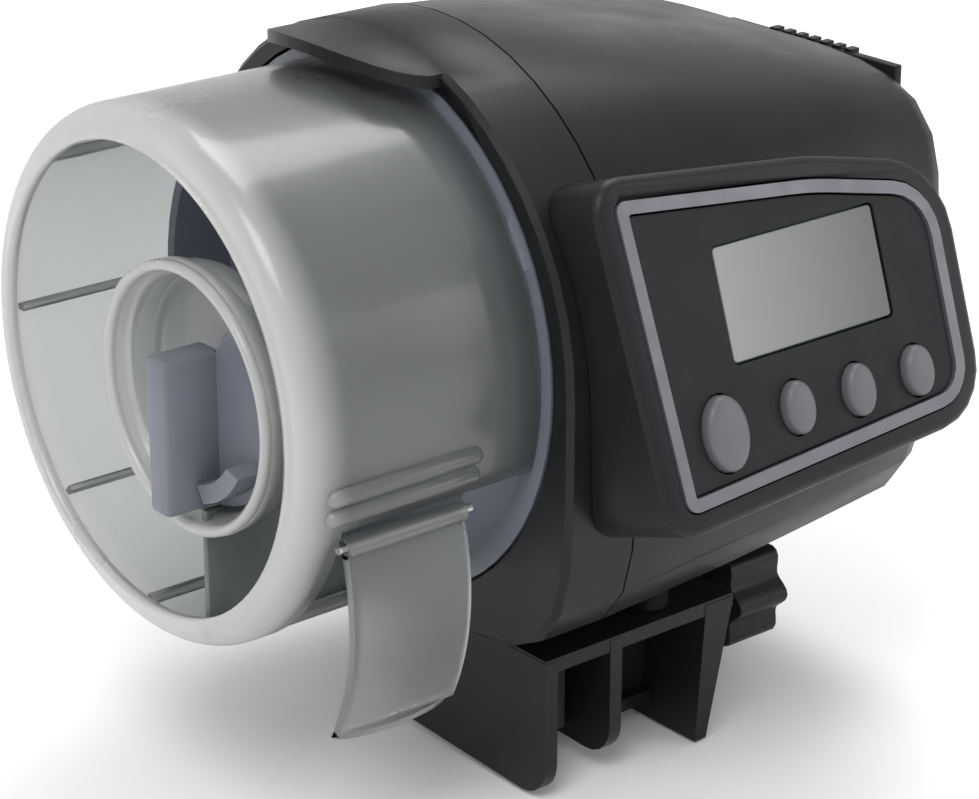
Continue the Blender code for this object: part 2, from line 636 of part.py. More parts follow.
SHAFT_FRONT = RECESS_DEPTH - 1.2
SHAFT_END = GEAR_PLATE[0] + GEAR_PLATE[1] - 0.4
STEP_X = BULKHEAD_REAR + 0.1
output_shaft = turned("output_shaft", ACETAL, [
    (0, SHAFT_END), (SHAFT_RADIUS, SHAFT_END), (SHAFT_RADIUS, STEP_X), (3.2, STEP_X),
    (3.2, SHAFT_FRONT), (0, SHAFT_FRONT)], 24, turn=BACKWARD)
DOG_HALF = DOG_SIZE / 2
join(output_shaft, box("dog", None, (-DOG_LENGTH, -DOG_HALF, -DOG_HALF),
                       (SHAFT_FRONT + 0.6, DOG_HALF, DOG_HALF), 0.5))

# ---- Drum ------------------------------------------------------------------
# Heights in the drum's profiles run forwards from its rear rim.
REAR = GAP
inner_edge = DRUM_EDGE - DRUM_WALL
drum = turned("food_drum", CLEAR,
              [(0, DRUM_LENGTH)]
              + [(DRUM_RADIUS - DRUM_EDGE + DRUM_EDGE * math.sin(math.radians(t)),
                  DRUM_LENGTH - DRUM_EDGE + DRUM_EDGE * math.cos(math.radians(t)))
                 for t in range(0, 91, 18)]
              + [(DRUM_RADIUS, REAR), (DRUM_INNER, REAR)]
              + [(DRUM_INNER - inner_edge + inner_edge * math.sin(math.radians(t)),
                  DRUM_LENGTH - DRUM_EDGE + inner_edge * math.cos(math.radians(t)))
                 for t in range(90, -1, -30)]
              + [(0, DRUM_LENGTH - DRUM_WALL)], DRUM_SIDES, turn=FORWARD)
INSIDE = DRUM_WALL / 2          # how far additions reach into the wall
for i, turn in enumerate(RIB_ANGLES):
    radians = math.radians(180 - turn)
    join(drum, box(f"rib_{i}", None, (FACE_X + RIB_FRONT, DRUM_INNER - RIB_DEPTH, -RIB_THICKNESS / 2),
                   (-SPIGOT_LENGTH - GAP, DRUM_INNER + INSIDE, RIB_THICKNESS / 2), turn=(radians, 0, 0)))
well_y, well_z = WELL_CENTRE
WELL_FLOOR = FACE_X + WELL_DEPTH
join(drum, rod("well_body", None, WELL_RADIUS + WELL_MOUTH + 1.4, WELL_DEPTH - INSIDE + 1.4, 48,
               at=(FACE_X + INSIDE, well_y, well_z), turn=BACKWARD))
baffle_drop = math.sqrt((DRUM_INNER + INSIDE) ** 2 - BAFFLE_OFFSET ** 2)
join(drum, box("baffle", None, (FACE_X + INSIDE, -BAFFLE_OFFSET - 0.6, -baffle_drop + 0.4),
               (-BAFFLE_REAR, -BAFFLE_OFFSET + 0.6, well_z - WELL_RADIUS + 2)))
cut(drum, turned("well_room", None, [
    (0, DRUM_LENGTH + 1), (WELL_RADIUS + WELL_MOUTH, DRUM_LENGTH + 1),
    (WELL_RADIUS + WELL_MOUTH, DRUM_LENGTH - 2.4), (WELL_RADIUS, DRUM_LENGTH - 3.4),
    (WELL_RADIUS, -WELL_FLOOR), (0, -WELL_FLOOR)], 48, at=(0, well_y, well_z), turn=FORWARD),
    rod("pivot_hole", None, PIVOT_RADIUS + GAP, 6, 20, at=(WELL_FLOOR - 2, well_y, well_z), turn=BACKWARD))
for i, turn in enumerate((WINDOW_TOP + 4.4, WINDOW_TOP + 9.0)):
    y, z = around(DRUM_RADIUS + 0.1, turn)
    ridge = [(0, DRUM_LENGTH - 3), (0.9, DRUM_LENGTH - 3.6), (1.3, DRUM_LENGTH - 5),
             (1.3, SPIGOT_LENGTH + 1), (0, SPIGOT_LENGTH + 1)]
    join(drum, turned(f"ridge_bar_{i}", None, ridge, 12, at=(0, y, z), turn=FORWARD))
cut(drum, flat("window", None, drum_sector(DRUM_INNER - 4, DRUM_RADIUS + 4, WINDOW_TOP, WINDOW_BOTTOM),
               WINDOW_FRONT + 2, at=(-WINDOW_FRONT, 0, 0), turn=ACROSS))
hinge_y, hinge_z = around(HINGE_RADIUS, HINGE_ANGLE)
DOOR_FRONT = WINDOW_FRONT - GAP
LUG = 1.4
lugs = ((-WINDOW_FRONT - LUG, -WINDOW_FRONT), (-DOOR_REAR + GAP, -DOOR_REAR + GAP + LUG))
for i, (start, end) in enumerate(lugs):
    join(drum, rod(f"lug_{i}", None, KNUCKLE_RADIUS, end - start, 18, at=(start, hinge_y, hinge_z),
                   turn=BACKWARD))
    join(drum, flat(f"lug_root_{i}", None, [
        around(DRUM_INNER + 0.5, WINDOW_TOP + 3), around(HINGE_RADIUS + 0.9, WINDOW_TOP + 1),
        around(HINGE_RADIUS + 0.9, HINGE_ANGLE), around(DRUM_INNER + 0.5, HINGE_ANGLE)],
        end - start, at=(start, 0, 0), turn=ACROSS))
cut(drum, rod("pin_hole", None, PIN_RADIUS + 0.2, DOOR_FRONT - DOOR_REAR + 2 * LUG + 4, 14,
              at=(-WINDOW_FRONT - 0.9, hinge_y, hinge_z), turn=BACKWARD))
rod("door_pin", STEEL, PIN_RADIUS, WINDOW_FRONT - DOOR_REAR + LUG + 0.8, 14,
    at=(-WINDOW_FRONT - 0.7, hinge_y, hinge_z), turn=BACKWARD)

# The door is drawn closed around its hinge and then turned to hang open.
DOOR_OUTER = DRUM_RADIUS - 0.1
DOOR_START = HINGE_ANGLE - 0.9
DOOR_END = WINDOW_BOTTOM + 0.7


def about_hinge(points):
    return [(y - hinge_y, z - hinge_z) for y, z in points]


def door_piece(name, outline, finish=None):
    return flat(name, finish, about_hinge(outline), DOOR_FRONT - DOOR_REAR,
                at=(-DOOR_FRONT, hinge_y, hinge_z), turn=ACROSS)


door = door_piece("drum_door", drum_sector(DOOR_OUTER - DOOR_WALL, DOOR_OUTER, DOOR_START, DOOR_END), CLEAR)
knuckle = rod("knuckle", None, KNUCKLE_RADIUS, DOOR_FRONT - DOOR_REAR, 20,
              at=(-DOOR_FRONT, hinge_y, hinge_z), turn=BACKWARD)
lip = door_piece("door_lip", drum_sector(DOOR_OUTER - DOOR_WALL, DOOR_OUTER + DOOR_LIP - DOOR_WALL,
                                         DOOR_END + 2.0, DOOR_END, 2))
join(door, knuckle, lip)
door_bore = rod("door_bore", None, PIN_RADIUS + GAP, DOOR_FRONT, 14,
                at=(-DOOR_FRONT - 4, hinge_y, hinge_z), turn=BACKWARD)
cut(door, door_bore)
door_swing = empty("door_swing", (0, hinge_y, hinge_z), (-math.radians(DOOR_OPEN), 0, 0), FEEDER)
for piece in (door, knuckle, lip, door_bore):
    piece.parent = door_swing
    piece.location = Vector((piece.location.x, 0, 0))

lid = turned("rear_lid", LAVENDER, [
    (0, 9.0), (7.0, 9.0), (7.0, 0), (SPIGOT_RADIUS - 1.6, 0), (SPIGOT_RADIUS - 1.6, SPIGOT_LENGTH),
    (SPIGOT_RADIUS, SPIGOT_LENGTH), (SPIGOT_RADIUS, 0), (LID_RADIUS, 0), (LID_RADIUS, -LID_THICKNESS),
    (0, -LID_THICKNESS)], DRUM_SIDES, turn=FORWARD)
SOCKET_HALF = DOG_HALF + GAP
cut(lid, box("socket", None, (-DOG_LENGTH - GAP, -SOCKET_HALF, -SOCKET_HALF),
             (LID_THICKNESS + 1, SOCKET_HALF, SOCKET_HALF)))

# The dial turns on a stub through the well's floor and is held by a clip behind it.
DIAL_FRONT = WELL_FLOOR - GAP - DIAL_THICKNESS
dial = flat("portion_dial", LAVENDER,
            [around(WELL_RADIUS - 0.6, t) for t in range(60, -131, -10)]
            + [around(3.6, -150), around(3.6, 90)],
            DIAL_THICKNESS, at=(DIAL_FRONT, well_y, well_z), turn=ACROSS)
FIN_BACK = FIN_THICKNESS / 2
join(dial,
     rod("dial_hub", None, 5.2, DIAL_THICKNESS, 24, at=(DIAL_FRONT, well_y, well_z), turn=BACKWARD),
     box("dial_fin", None, (FACE_X - FIN_PROUD, well_y - FIN_BACK, well_z - FIN_BELOW),
         (DIAL_FRONT + 0.6, well_y + FIN_BACK, well_z + FIN_ABOVE), 0.9),
     flat("dial_lobe", None, [around(WELL_RADIUS - 2.0, t) for t in range(-32, -79, -6)]
          + [around(WELL_RADIUS - 4.6, t) for t in range(-78, -31, 6)], 4.6,
          at=(DIAL_FRONT - 4.0, well_y, well_z), turn=ACROSS),
     rod("dial_stub", None, PIVOT_RADIUS, DIAL_THICKNESS + 5.0, 24, at=(DIAL_FRONT + 0.4, well_y, well_z),
         turn=BACKWARD))
CLIP_X = WELL_FLOOR + 1.4 + GAP
turned("dial_clip", STEEL, [(5.4, 1.0), (5.4, 0), (PIVOT_RADIUS + GAP, 0), (PIVOT_RADIUS + GAP, 1.0)], 24,
       at=(CLIP_X, well_y, well_z), turn=BACKWARD)

# ---- Control panel ---------------------------------------------------------
# Local z = 0 is the panel's face, x runs right and y runs up the slope.
PANEL_CORNERS = ((5.4, 0.3, 1.5), (40, -3.4, 70), (62.0, -8.2, 9), (61.8, -38.7, 6), (7.2, -41.9, 2))


def panel_shape(amount=0.0):
    """The trim's outline on the panel, made larger or smaller all round."""
    moved = grown([(x, y) for x, y, _ in PANEL_CORNERS], amount)
    return rounded([(x, y, max(0.4, radius + amount))
                    for (x, y), (_, _, radius) in zip(moved, PANEL_CORNERS)])


BEZEL_DEPTH = 27.0
BEZEL_EDGE = 1.0
BEZEL_LEDGE = 1.7               # the trim's seat reaches in by this much
bezel_steps = ((BEZEL_DEPTH, 0), (BEZEL_EDGE, 0), (BEZEL_EDGE * 0.3, BEZEL_EDGE * 0.3), (0, BEZEL_EDGE))
bezel = loft("panel_bezel", BLACK, [
    [(x, y, -drop) for x, y in panel_shape(BEZEL_MARGIN - inset)] for drop, inset in bezel_steps],
    parent=PANEL)
CLEARANCE_END = 66
cut(bezel,
    loft("housing_clearance", None,
         [housing_section(x, -GAP) for x in (-1, SEAM_X, 24, 36, 48, 58, CLEARANCE_END)]
         + [[(HOUSING_END + 8, y, z) for _, y, z in housing_section(CLEARANCE_END, -GAP)]]),
    flat("bezel_room", None, panel_shape(-BEZEL_LEDGE), 45, at=(0, 0, -44), parent=PANEL),
    flat("trim_seat", None, panel_shape(GAP), 4, at=(0, 0, -TRIM_THICKNESS), parent=PANEL))
TRIM_Z = GAP - TRIM_THICKNESS
flat("panel_trim", SILVER, panel_shape(), TRIM_THICKNESS, [panel_shape(-TRIM_WIDTH)],
     at=(0, 0, TRIM_Z), parent=PANEL)
screen_x, screen_y, screen_w, screen_h = SCREEN
screen_hole = rounded([(screen_x - screen_w / 2 - GAP, screen_y + screen_h / 2 + GAP, 0.8),
                       (screen_x + screen_w / 2 + GAP, screen_y + screen_h / 2 + GAP, 0.8),
                       (screen_x + screen_w / 2 + GAP, screen_y - screen_h / 2 - GAP, 0.8),
                       (screen_x - screen_w / 2 - GAP, screen_y - screen_h / 2 - GAP, 0.8)], 2)
button_holes = [oval(x, y, width + 2 * GAP, height + 2 * GAP) for x, y, width, height in BUTTONS.values()]
flat("panel_plate", OVERLAY, panel_shape(-TRIM_WIDTH - GAP), PLATE_THICKNESS,
     [screen_hole, *button_holes], at=(0, 0, TRIM_Z), parent=PANEL)
flat("screen_lens", GLASS, grown(screen_hole, -GAP), 1.1, at=(0, 0, TRIM_Z), parent=PANEL)
box("screen_module", BOARD, (screen_x - screen_w / 2 - 0.9, screen_y - screen_h / 2 - 0.6, -4.6),
    (screen_x + screen_w / 2 + 0.9, screen_y + screen_h / 2 + 0.5, TRIM_Z - GAP), parent=PANEL)
board_outline = rounded([(10.5, -11, 2), (58.5, -11, 2), (58.5, -35.6, 2), (10.5, -38.4, 2)], 3)
flat("circuit_board", BOARD, board_outline, BOARD_THICKNESS, at=(0, 0, BOARD_Z), parent=PANEL)
FLANGE_Z = TRIM_Z - GAP
for name, (x, y, width, height) in BUTTONS.items():
    cap = rod(f"{name}_button", LAVENDER, 1, BUTTON_PROUD - FLANGE_Z + 1, 24, parent=PANEL)
    for corner in cap.data.vertices:
        corner.co.x *= width / 2
        corner.co.y *= height / 2
    cap.location = Vector((x, y, FLANGE_Z - 1)) * MM
    soften = cap.modifiers.new("dome", "BEVEL")
    soften.width = 1.1 * MM
    soften.segments = 3
    soften.limit_method = "ANGLE"
    soften.angle_limit = math.radians(60)
    flange = flat(f"{name}_flange", None, oval(0, 0, width + 1.2, height + 1.2), 0.9,
                  at=(x, y, FLANGE_Z - 1.3), parent=PANEL)
    join(cap, flange)
    switch = box(f"{name}_switch", BLACK, (x - 3, y - 3, -BOARD_DEPTH + GAP), (x + 3, y + 3, -4.9), 0.2,
                 parent=PANEL)
    join(switch, rod(f"{name}_plunger", None, 1.6, 1.0, 16, at=(x, y, -5.2), parent=PANEL))

# ---- Rim clamp -------------------------------------------------------------
CLAMP_BACK = CLAMP_FRONT + CLAMP_DEPTH
CLAMP_BOTTOM = -HOUSING_BOTTOM - CLAMP_DROP
ROOF = CLAMP_TOP - BASE_THICKNESS
RIGHT_TOP = (34.0, 39.4)
RIGHT_BOTTOM = (32.4, 34.6)
STEP_IN = 0.1                   # the base is this much inside its plates' edges
clamp = box("rim_clamp", BLACK, (JAW_LEFT[0] + STEP_IN, CLAMP_FRONT + STEP_IN, ROOF),
            (RIGHT_TOP[1] - STEP_IN, CLAMP_BACK - STEP_IN, CLAMP_TOP))
for i, ((x, thickness), bottom) in enumerate(((JAW_LEFT, CLAMP_BOTTOM), (JAW_MIDDLE, CLAMP_BOTTOM + 2.5))):
    outline = rounded([(CLAMP_FRONT, CLAMP_TOP - 0.4, 0.2), (CLAMP_BACK, CLAMP_TOP - 0.4, 0.2),
                       (CLAMP_BACK, bottom + 1.5, 8), (CLAMP_FRONT, bottom, 5)])
    join(clamp, flat(f"jaw_plate_{i}", None, outline, thickness, at=(x, 0, 0), turn=ACROSS))
right = flat("right_plate", None, [
    (RIGHT_TOP[0], CLAMP_TOP - 0.5), (RIGHT_TOP[1], CLAMP_TOP - 0.5),
    (RIGHT_BOTTOM[1], CLAMP_BOTTOM), (RIGHT_BOTTOM[0], CLAMP_BOTTOM)],
    CLAMP_DEPTH, at=(0, CLAMP_BACK, 0), turn=(math.pi / 2, 0, 0))
web_y = CLAMP_FRONT + 12
web_x = (JAW_MIDDLE[0] + JAW_MIDDLE[1] - 0.4, RIGHT_TOP[0] + 0.4)
join(clamp, right,
     box("web", None, (web_x[0], web_y, CLAMP_BOTTOM + 3.5), (web_x[1], web_y + 1.8, ROOF + 0.5)),
     box("web_lip", None, (web_x[0], web_y - 2, CLAMP_BOTTOM + 2.6),
         (web_x[1], web_y + 1.0, CLAMP_BOTTOM + 4.6)))
cut(clamp, rod("clamp_bore", None, SCREW_RADIUS + 0.4, 40, 24, at=(JAW_MIDDLE[0] - 2, SCREW_Y, SCREW_Z),
               turn=BACKWARD))
for i, (x, y) in enumerate(BASE_SCREWS):
    cut(clamp, rod(f"base_hole_{i}", None, 1.6, 5, 14, at=(x, y, ROOF - 1)))
PAD_X = JAW_FACE + PAD_GRIP
pad = box("clamp_pad", RUBBER, (PAD_X, SCREW_Y - PAD_WIDTH / 2, SCREW_Z - PAD_BELOW),
          (PAD_X + PAD_THICKNESS, SCREW_Y + PAD_WIDTH / 2, SCREW_Z + PAD_ABOVE), 0.5)
cut(pad, rod("pad_socket", None, 2.0, 3, 18, at=(PAD_X + 0.9, SCREW_Y, SCREW_Z), turn=BACKWARD))
SCREW_LENGTH = KNOB_X + KNOB_LENGTH - 2 - PAD_X - 1.2
turned("clamp_screw", STEEL, [
    (0, SCREW_LENGTH), (SCREW_RADIUS, SCREW_LENGTH), (SCREW_RADIUS, PAD_THICKNESS - 0.6),
    (1.7, PAD_THICKNESS - 0.9), (1.7, 0), (0, 0)], 20, at=(PAD_X + 1.2, SCREW_Y, SCREW_Z), turn=BACKWARD)
LOBE_DEPTH = 0.9
LOBE_POINTS = 8
lobes = []
for i in range(KNOB_LOBES * LOBE_POINTS):
    turn = 2 * math.pi * i / (KNOB_LOBES * LOBE_POINTS)
    radius = KNOB_RADIUS - LOBE_DEPTH + LOBE_DEPTH * math.cos(KNOB_LOBES * turn)
    lobes.append((radius * math.cos(turn), radius * math.sin(turn)))
knob = flat("clamp_knob", BLACK, lobes, KNOB_LENGTH, at=(KNOB_X, SCREW_Y, SCREW_Z), turn=ACROSS)
cut(knob, rod("knob_bore", None, SCREW_RADIUS + GAP, KNOB_LENGTH, 20,
              at=(KNOB_X - 1.6, SCREW_Y, SCREW_Z), turn=BACKWARD))
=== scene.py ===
"""Automatic fish feeder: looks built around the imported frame, in metres."""

import json
import math

import bmesh
import bpy
from mathutils import Matrix, Vector


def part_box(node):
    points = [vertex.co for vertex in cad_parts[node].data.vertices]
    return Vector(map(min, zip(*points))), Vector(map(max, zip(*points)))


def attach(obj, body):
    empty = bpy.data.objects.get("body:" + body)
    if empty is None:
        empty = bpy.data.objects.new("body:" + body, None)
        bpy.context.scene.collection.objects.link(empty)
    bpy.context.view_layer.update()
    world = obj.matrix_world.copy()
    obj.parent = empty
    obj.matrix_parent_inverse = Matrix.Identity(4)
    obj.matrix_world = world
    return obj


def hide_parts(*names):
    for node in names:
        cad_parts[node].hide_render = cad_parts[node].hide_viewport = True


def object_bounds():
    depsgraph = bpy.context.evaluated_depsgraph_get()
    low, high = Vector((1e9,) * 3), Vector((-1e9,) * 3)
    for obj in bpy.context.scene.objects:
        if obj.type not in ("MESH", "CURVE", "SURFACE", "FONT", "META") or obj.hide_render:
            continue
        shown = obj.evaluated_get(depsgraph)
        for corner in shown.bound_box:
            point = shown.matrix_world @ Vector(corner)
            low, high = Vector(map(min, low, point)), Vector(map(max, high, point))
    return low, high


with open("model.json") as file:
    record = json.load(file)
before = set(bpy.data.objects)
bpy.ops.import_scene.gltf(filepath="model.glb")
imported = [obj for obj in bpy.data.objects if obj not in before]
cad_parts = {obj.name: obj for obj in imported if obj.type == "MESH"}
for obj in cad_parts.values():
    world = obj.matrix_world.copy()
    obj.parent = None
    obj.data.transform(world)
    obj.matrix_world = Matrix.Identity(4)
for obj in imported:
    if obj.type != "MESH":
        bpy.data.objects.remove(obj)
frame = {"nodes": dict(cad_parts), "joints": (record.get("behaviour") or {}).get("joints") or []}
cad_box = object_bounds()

VIEW_AZIMUTH = math.radians(-39.535)
VIEW_ELEVATION = math.radians(21.686)
VIEW_DISTANCE = 0.42
VIEW_TARGET = Vector((-0.01263, -0.01393, 0.04108))
VIEW_LENS = 115.28
outward = Vector((
    math.sin(VIEW_AZIMUTH) * math.cos(VIEW_ELEVATION),
    -math.cos(VIEW_AZIMUTH) * math.cos(VIEW_ELEVATION),
    math.sin(VIEW_ELEVATION)))
camera = bpy.data.objects.new("camera", bpy.data.cameras.new("camera"))
camera.data.lens = VIEW_LENS
camera.data.clip_start = 0.01
camera.location = VIEW_TARGET + outward * VIEW_DISTANCE
camera.rotation_euler = (-outward).to_track_quat("-Z", "Y").to_euler()
bpy.context.scene.collection.objects.link(camera)
bpy.context.scene.camera = camera

floor_mesh = bmesh.new()
bmesh.ops.create_grid(floor_mesh, x_segments=8, y_segments=8, size=3.0)
FLOOR_DROP = 0.0005
bmesh.ops.translate(floor_mesh, vec=(0, 0, cad_box[0][2] - FLOOR_DROP), verts=floor_mesh.verts)
floor_data = bpy.data.meshes.new("floor")
floor_mesh.to_mesh(floor_data)
floor_mesh.free()
floor = bpy.data.objects.new("floor", floor_data)
bpy.context.scene.collection.objects.link(floor)
floor_paint = bpy.data.materials.new("floor_paint")
floor_paint.use_nodes = True
floor_shader = floor_paint.node_tree.nodes["Principled BSDF"]
floor_shader.inputs["Base Color"].default_value = (0.93, 0.93, 0.93, 1)
floor_shader.inputs["Roughness"].default_value = 0.9
floor_data.materials.append(floor_paint)

room = bpy.data.worlds.new("room")
room.use_nodes = True
room_light = room.node_tree.nodes["Background"]
room_light.inputs["Color"].default_value = (1.0, 1.0, 1.0, 1)
room_light.inputs["Strength"].default_value = 0.85
bpy.context.scene.world = room
bpy.context.scene.view_settings.view_transform = "Standard"


def soft_panel(name, place, size, power, aim=VIEW_TARGET):
    """A square lamp of a given side that faces the feeder."""
    lamp = bpy.data.lights.new(name, "AREA")
    lamp.size = size
    lamp.energy = power
    made = bpy.data.objects.new(name, lamp)
    made.location = place
    made.rotation_euler = (Vector(aim) - Vector(place)).to_track_quat("-Z", "Y").to_euler()
    bpy.context.scene.collection.objects.link(made)


soft_panel("key_panel", (-0.45, -0.35, 0.75), 0.4, 3.2)
soft_panel("top_panel", (0.30, 0.20, 0.8), 0.4, 3.0)
soft_panel("side_panel", (0.6, -0.6, 0.25), 0.3, 0.6)

# ---- Satin black plastic and the housing shells -----------------------------
# Two injection-moulded ABS shells: a ring round the drum with a short hood over it, and
# the tapering body. Their satin skin has a fine spark-eroded grain and a little wear.
MM = 0.001


def finish(name, colour, roughness, **sockets):
    """A Principled finish; other sockets are named with underscores for spaces."""
    made = bpy.data.materials.new(name)
    made.use_nodes = True
    shader = made.node_tree.nodes["Principled BSDF"]
    shader.inputs["Base Color"].default_value = (*colour, 1)
    shader.inputs["Roughness"].default_value = roughness
    for socket, value in sockets.items():
        shader.inputs[socket.replace("_", " ")].default_value = value
    return made


def grain(material, scale, height, detail=3.0):
    """Gives a finish a fine bump from noise on Object coordinates; scale is bumps a metre."""
    tree = material.node_tree
    coordinates = tree.nodes.new("ShaderNodeTexCoord")
    noise = tree.nodes.new("ShaderNodeTexNoise")
    noise.inputs["Scale"].default_value = scale
    noise.inputs["Detail"].default_value = detail
    bump = tree.nodes.new("ShaderNodeBump")
    bump.inputs["Strength"].default_value = 1.0
    bump.inputs["Distance"].default_value = height
    tree.links.new(coordinates.outputs["Object"], noise.inputs["Vector"])
    tree.links.new(noise.outputs["Fac"], bump.inputs["Height"])
    tree.links.new(bump.outputs["Normal"], tree.nodes["Principled BSDF"].inputs["Normal"])


def mottle(material, socket, low, high, scale, detail=2.0):
    """Varies one of a finish's sockets slowly between two values or two colours."""
    tree = material.node_tree
    coordinates = tree.nodes.new("ShaderNodeTexCoord")
    noise = tree.nodes.new("ShaderNodeTexNoise")
    noise.inputs["Scale"].default_value = scale
    noise.inputs["Detail"].default_value = detail
    ramp = tree.nodes.new("ShaderNodeValToRGB")
    ramp.color_ramp.elements[0].position = 0.32
    ramp.color_ramp.elements[1].position = 0.68
    for element, value in zip(ramp.color_ramp.elements, (low, high)):
        element.color = (*value, 1) if isinstance(value, tuple) else (value, value, value, 1)
    tree.links.new(coordinates.outputs["Object"], noise.inputs["Vector"])
    tree.links.new(noise.outputs["Fac"], ramp.inputs["Fac"])
    tree.links.new(ramp.outputs["Color"], tree.nodes["Principled BSDF"].inputs[socket])


satin_black = finish("satin_black", (0.010, 0.011, 0.012), 0.36, Specular_IOR_Level=0.22)
mottle(satin_black, "Base Color", (0.009, 0.010, 0.011), (0.012, 0.013, 0.014), 60)
mottle(satin_black, "Roughness", 0.32, 0.42, 90, 4.0)
grain(satin_black, 5200, 0.00002)


def show(name, mesh, body, material, stands_for=()):
    """Links a finished mesh as a piece of the feeder."""
    made = bpy.data.objects.new(name, mesh)
    mesh.materials.clear()
    mesh.materials.append(material)
    bpy.context.scene.collection.objects.link(made)
    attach(made, body)
    if stands_for:
        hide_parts(*stands_for)
    return made


def smoothed(work, name, sharp=35):
    """Turns a bmesh into a mesh with smooth faces and crisp edges past an angle."""
    mesh = bpy.data.meshes.new(name)
    work.to_mesh(mesh)
    work.free()
    mesh.shade_smooth()
    mesh.set_sharp_from_angle(angle=math.radians(sharp))
    return mesh


SAME_POINT = 0.004 * MM
FLAT_WITHIN = math.radians(0.6)
ROUNDED_FROM = math.radians(40)


def fair_copy(node, body, material, edge=0.0, sharp=35):
    """A smooth copy of a CAD node that stands for it, with its edges rounded by edge."""
    work = bmesh.new()
    work.from_mesh(frame["nodes"][node].data)
    bmesh.ops.remove_doubles(work, verts=work.verts, dist=SAME_POINT)
    bmesh.ops.dissolve_limit(work, angle_limit=FLAT_WITHIN, verts=work.verts, edges=work.edges)
    name = node + "_skin"
    made = show(name, smoothed(work, name, sharp), body, material, (node,))
    if edge:
        rounding = made.modifiers.new("rounding", "BEVEL")
        rounding.width = edge
        rounding.segments = 2
        rounding.limit_method = "ANGLE"
        rounding.angle_limit = ROUNDED_FROM
        rounding.harden_normals = True
    return made


fair_copy("drum_side_shell", "housing", satin_black)
fair_copy("main_shell", "housing", satin_black)
fair_copy("battery_door", "battery_cover", satin_black, 0.2 * MM)

# ---- Steel, and the screws of the housing ----------------------------------
# Pan-head steel screws hold the shells, the gearbox plate and the clamp's base.
plain_steel = finish("plain_steel", (0.55, 0.55, 0.56), 0.28, Metallic=1.0)
mottle(plain_steel, "Roughness", 0.22, 0.38, 400)
for screw in ("gearbox_screw_1", "gearbox_screw_2", "gearbox_screw_3", "housing_screw_1",
              "housing_screw_2", "housing_screw_3", "clamp_base_screw_1", "clamp_base_screw_2"):
    fair_copy(screw, "housing", plain_steel)

# ---- Batteries -------------------------------------------------------------
# Two wrapped AA cells lie in a black tray, with a sprung contact, a plain one and a bridge.
fair_copy("battery_tray", "housing", satin_black)
cell_wrap = finish("cell_wrap", (0.12, 0.16, 0.22), 0.3, Coat_Weight=0.4)
mottle(cell_wrap, "Base Color", (0.11, 0.15, 0.21), (0.13, 0.17, 0.24), 120)
for cell in ("cell_1", "cell_2"):
    fair_copy(cell, "housing", cell_wrap)
for contact in ("contact_spring", "contact_plate", "contact_bridge"):
    fair_copy(contact, "housing", plain_steel)

# ---- Gear train and motor --------------------------------------------------
# White acetal wheels on steel axles step a small can motor down to the output shaft.
acetal = finish("acetal", (0.80, 0.80, 0.77), 0.4, Subsurface_Weight=0.05)
mottle(acetal, "Base Color", (0.77, 0.77, 0.74), (0.83, 0.83, 0.80), 150)
for wheel, body in (("output_gear", "output"), ("output_shaft", "output"),
                    ("motor_pinion", "rotor"), ("reduction_gear_1", "wheel_1"),
                    ("reduction_gear_2", "wheel_2")):
    fair_copy(wheel, body, acetal, sharp=20)
for metal, body in (("gear_axle_1", "housing"), ("gear_axle_2", "housing"),
                    ("motor_shaft", "rotor"), ("motor", "housing")):
    fair_copy(metal, body, plain_steel)
fair_copy("gearbox_plate", "housing", satin_black)

# ---- Drum lid --------------------------------------------------------------
# The lavender-grey lid closes the drum's rear and carries it on the square dog.
lavender = finish("lavender", (0.145, 0.157, 0.19), 0.42)
mottle(lavender, "Base Color", (0.137, 0.149, 0.181), (0.153, 0.165, 0.199), 70)
mottle(lavender, "Roughness", 0.38, 0.48, 110, 4.0)
grain(lavender, 4200, 0.000012)
fair_copy("rear_lid", "lid", lavender)

# ---- Food drum -------------------------------------------------------------
# One clear styrene moulding: a round cup with a rolled front edge, a round well in its
# face, and a window cut in its wall. The wall is spun, and then given its thickness.
joint_at = {joint["name"]: Vector(joint.get("pos_m", (0, 0, 0))) for joint in frame["joints"]}
DRUM_AXIS = joint_at["drum_turn"]
WELL_AXIS = joint_at["dial_turn"]
HINGE_AXIS = joint_at["door_swing"]
drum_low, drum_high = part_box("food_drum")
DRUM_RADIUS = drum_high.z - DRUM_AXIS.z
DRUM_FRONT = DRUM_AXIS.x - drum_low.x
DRUM_REAR = 0.3 * MM
DRUM_WALL = 1.6 * MM
DRUM_EDGE = 4.0 * MM
WINDOW_FRONT = 31.9 * MM
WINDOW_FROM = math.radians(-18 - 90)
WINDOW_SWEEP = math.radians(-49)
WINDOW_STEPS = 14
REST_STEPS = 90
FORWARD = Matrix.Translation(DRUM_AXIS) @ Matrix.Rotation(-math.pi / 2, 4, "Y")


def shade_across(material, socket, near, far, start, end):
    """Fades one of a finish's sockets along X on Object coordinates, as mottle varies it."""
    tree = material.node_tree
    coordinates = tree.nodes.new("ShaderNodeTexCoord")
    axes = tree.nodes.new("ShaderNodeSeparateXYZ")
    share = tree.nodes.new("ShaderNodeMapRange")
    share.inputs["From Min"].default_value = start
    share.inputs["From Max"].default_value = end
    ramp = tree.nodes.new("ShaderNodeValToRGB")
    for element, value in zip(ramp.color_ramp.elements, (near, far)):
        element.color = (*value, 1) if isinstance(value, tuple) else (value, value, value, 1)
    tree.links.new(coordinates.outputs["Object"], axes.inputs["Vector"])
    tree.links.new(axes.outputs["X"], share.inputs["Value"])
    tree.links.new(share.outputs["Result"], ramp.inputs["Fac"])
    tree.links.new(ramp.outputs["Color"], tree.nodes["Principled BSDF"].inputs[socket])


